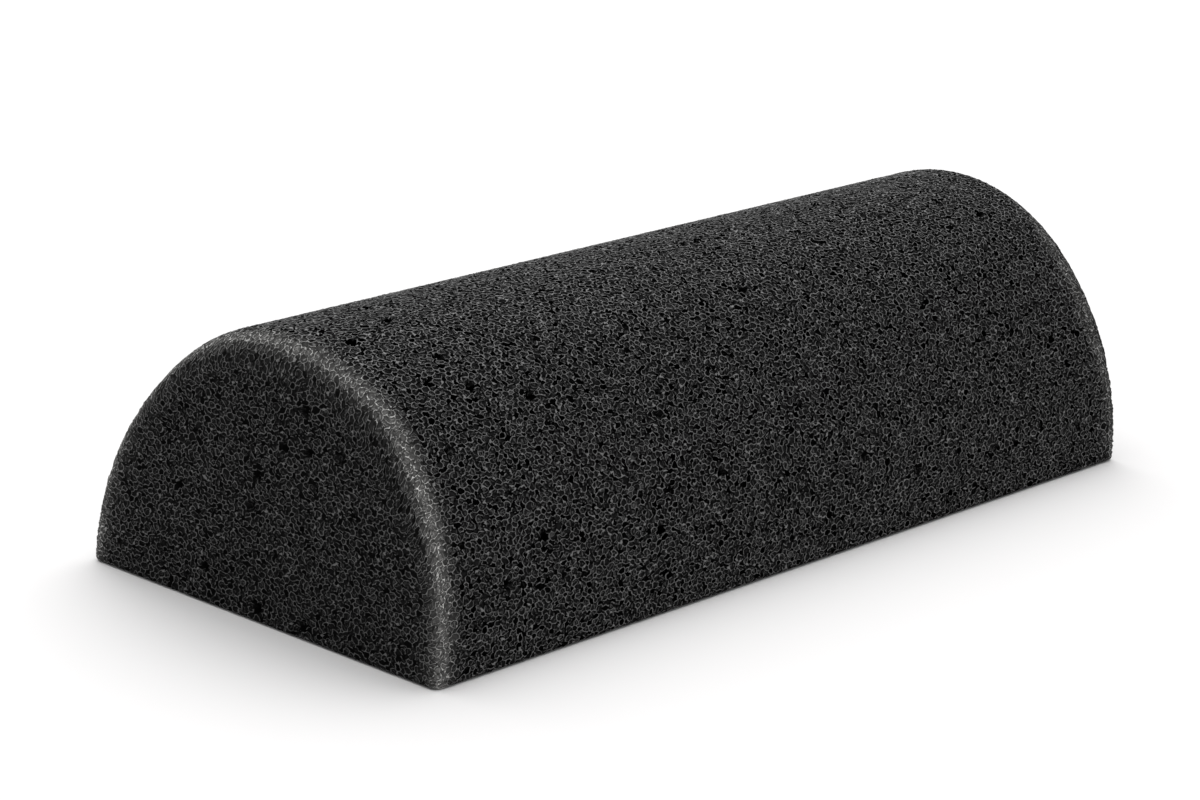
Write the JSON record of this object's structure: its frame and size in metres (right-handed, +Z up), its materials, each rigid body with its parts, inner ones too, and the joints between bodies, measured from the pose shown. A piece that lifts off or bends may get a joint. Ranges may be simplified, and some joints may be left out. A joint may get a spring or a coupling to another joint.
{
  "type": "half-moon foam block",
  "caption": "Long block of black open-cell foam with a half-moon section, a flat base and rounded arched edges at both ends.",
  "frame": {"origin": "middle of the flat base, on the surface that the block rests on", "axes": "+X along the block, +Y across it, +Z up from the flat base to the crown of the arch"},
  "size_m": [0.305, 0.124, 0.077],
  "materials": {
    "black_foam": "matt open-cell foam, black, with fine curled struts and dark pores"
  },
  "bodies": {
    "root": {"foam_block": "black_foam"}
  },
  "joints": []
}
